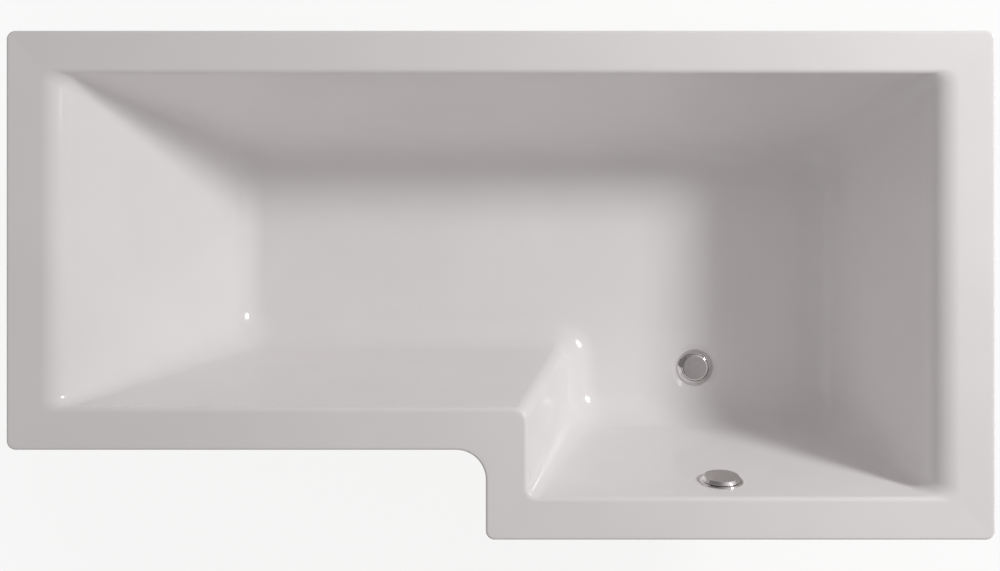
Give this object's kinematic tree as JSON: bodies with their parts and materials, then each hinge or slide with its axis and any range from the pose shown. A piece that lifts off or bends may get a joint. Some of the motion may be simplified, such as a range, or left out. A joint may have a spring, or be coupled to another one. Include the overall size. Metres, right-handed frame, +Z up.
{
  "type": "shower bath",
  "caption": "L-shaped white acrylic shower bath with a sloping backrest, wide square showering end, pop-up waste worked by the overflow knob, and an adjustable leg set.",
  "frame": {"origin": "on the ground under the middle of the rim", "axes": "+X towards the showering end, +Y towards the straight wall side, +Z up"},
  "size_m": [1.65, 0.85, 0.54],
  "materials": {
    "acrylic": "gloss white formed sheet",
    "glass_fibre": "sprayed chopped strand in resin",
    "chipboard": "raw particle board",
    "softwood": "sawn",
    "galvanised_steel": "galvanised",
    "zinc_plated_steel": "zinc plated",
    "stainless_steel": "turned",
    "brass": "turned",
    "chrome": "polished plating",
    "rubber": "moulded",
    "polypropylene": "moulded white",
    "hose_plastic": "ribbed, extruded",
    "cable_sheath": "extruded",
    "nylon": "moulded black"
  },
  "bodies": {
    "bath": {"base_board": "chipboard", "bath_shell": "acrylic", "body_seal": "rubber", "control_cable": "cable_sheath", "flange_seal": "rubber", "glass_fibre_backing": "glass_fibre", "hose_nut_lower": "polypropylene", "hose_nut_upper": "polypropylene", "hose_seal_lower": "rubber", "hose_seal_upper": "rubber", "leg_nuts_lower": "zinc_plated_steel", "leg_nuts_upper": "zinc_plated_steel", "overflow_body": "polypropylene", "overflow_faceplate": "chrome", "overflow_gasket": "rubber", "overflow_hose": "hose_plastic", "overflow_screws": "stainless_steel", "rail_head": "galvanised_steel", "rail_middle": "galvanised_steel", "rail_screws": "zinc_plated_steel", "rail_tap": "galvanised_steel", "rim_batten_back": "softwood", "rim_batten_head": "softwood", "rim_batten_narrow": "softwood", "rim_batten_notch": "softwood", "rim_batten_shower": "softwood", "rim_batten_tap": "softwood", "rocker_pin": "stainless_steel", "waste_body": "polypropylene", "waste_flange": "chrome"},
    "knob": {"overflow_knob": "chrome", "overflow_spindle": "brass"},
    "plug": {"plug": "chrome", "plug_seal": "rubber"},
    "rocker": {"plug_rocker": "polypropylene"},
    "leg_head_front": {"leg_rod_head_front": "zinc_plated_steel", "leg_foot_head_front": "nylon"},
    "leg_head_back": {"leg_rod_head_back": "zinc_plated_steel", "leg_foot_head_back": "nylon"},
    "leg_middle_front": {"leg_rod_middle_front": "zinc_plated_steel", "leg_foot_middle_front": "nylon"},
    "leg_middle_back": {"leg_rod_middle_back": "zinc_plated_steel", "leg_foot_middle_back": "nylon"},
    "leg_tap_front": {"leg_rod_tap_front": "zinc_plated_steel", "leg_foot_tap_front": "nylon"},
    "leg_tap_back": {"leg_rod_tap_back": "zinc_plated_steel", "leg_foot_tap_back": "nylon"}
  },
  "joints": [
    {"name": "knob_turn", "type": "hinge", "parent": "bath", "child": "knob", "pos_m": [0.38, -0.33756, 0.465], "axis": [0, 0.974, 0.2265], "range_deg": [0, 90]},
    {"name": "plug_lift", "type": "slide", "parent": "bath", "child": "plug", "axis": [0, 0, 1], "range_m": [0, 0.01]},
    {"name": "rocker_swing", "type": "hinge", "parent": "bath", "child": "rocker", "pos_m": [0.38, -0.179, 0.078], "axis": [1, 0, 0], "range_deg": [0, 32.3]},
    {"name": "leg_head_front_height", "type": "slide", "parent": "bath", "child": "leg_head_front", "axis": [0, 0, -1], "range_m": [-0.015, 0.025]},
    {"name": "leg_head_back_height", "type": "slide", "parent": "bath", "child": "leg_head_back", "axis": [0, 0, -1], "range_m": [-0.015, 0.025]},
    {"name": "leg_middle_front_height", "type": "slide", "parent": "bath", "child": "leg_middle_front", "axis": [0, 0, -1], "range_m": [-0.015, 0.025]},
    {"name": "leg_middle_back_height", "type": "slide", "parent": "bath", "child": "leg_middle_back", "axis": [0, 0, -1], "range_m": [-0.015, 0.025]},
    {"name": "leg_tap_front_height", "type": "slide", "parent": "bath", "child": "leg_tap_front", "axis": [0, 0, -1], "range_m": [-0.015, 0.025]},
    {"name": "leg_tap_back_height", "type": "slide", "parent": "bath", "child": "leg_tap_back", "axis": [0, 0, -1], "range_m": [-0.015, 0.025]}
  ],
  "couplings": [
    {"joint": "plug_lift", "follows": "knob_turn", "m_per_rad": 0.006366},
    {"joint": "rocker_swing", "follows": "knob_turn", "ratio": 0.3583}
  ]
}
